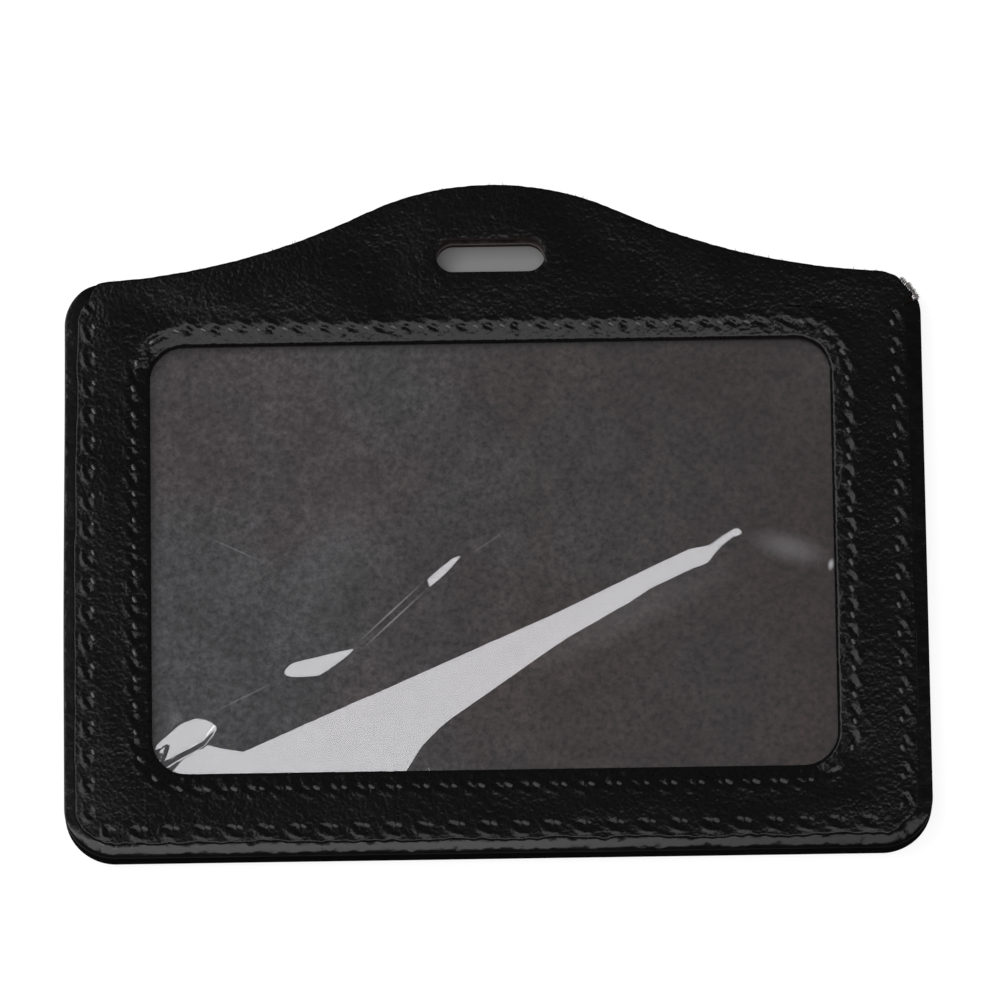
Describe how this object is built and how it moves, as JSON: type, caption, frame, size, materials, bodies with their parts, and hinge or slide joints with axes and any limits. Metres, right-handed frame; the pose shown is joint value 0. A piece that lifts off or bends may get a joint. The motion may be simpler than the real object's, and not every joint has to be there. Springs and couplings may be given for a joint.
{
  "type": "id badge wallet",
  "caption": "Horizontal soft badge holder with a clear front window, a card pocket that opens at the top, and a lanyard slot in its raised tab.",
  "frame": {"origin": "centre of the wallet's bounding box, on the back face that it lies on", "axes": "+X to the right seen from the front, +Y towards the tab with the lanyard slot, +Z out of the front"},
  "size_m": [0.11, 0.0882, 0.0041],
  "materials": {
    "black_leather": "fine pebble grain, satin",
    "edge_paint": "semi-gloss edge coat",
    "grey_board": "matt",
    "lining_cloth": "napped cloth",
    "filler_strip": "matt",
    "clear_film": "clear, glossy, slightly wrinkled",
    "thread": "twisted polyester thread"
  },
  "bodies": {
    "case": {"back_panel": "black_leather", "stiffener_board": "grey_board", "pocket_lining": "lining_cloth", "edge_filler": "filler_strip", "window_film": "clear_film", "front_frame": "black_leather", "edge_coat": "edge_paint", "outer_needle_thread": "thread", "outer_bobbin_thread": "thread", "window_needle_thread": "thread", "window_bobbin_thread": "thread"},
    "tab": {"front_tab": "black_leather"}
  },
  "joints": [
    {"name": "mouth_flex", "type": "hinge", "parent": "case", "child": "tab", "pos_m": [0, 0.0295, 0.00415], "axis": [1, 0, 0], "range_deg": [0, 50], "stiffness_Nm_per_rad": 0.003}
  ]
}
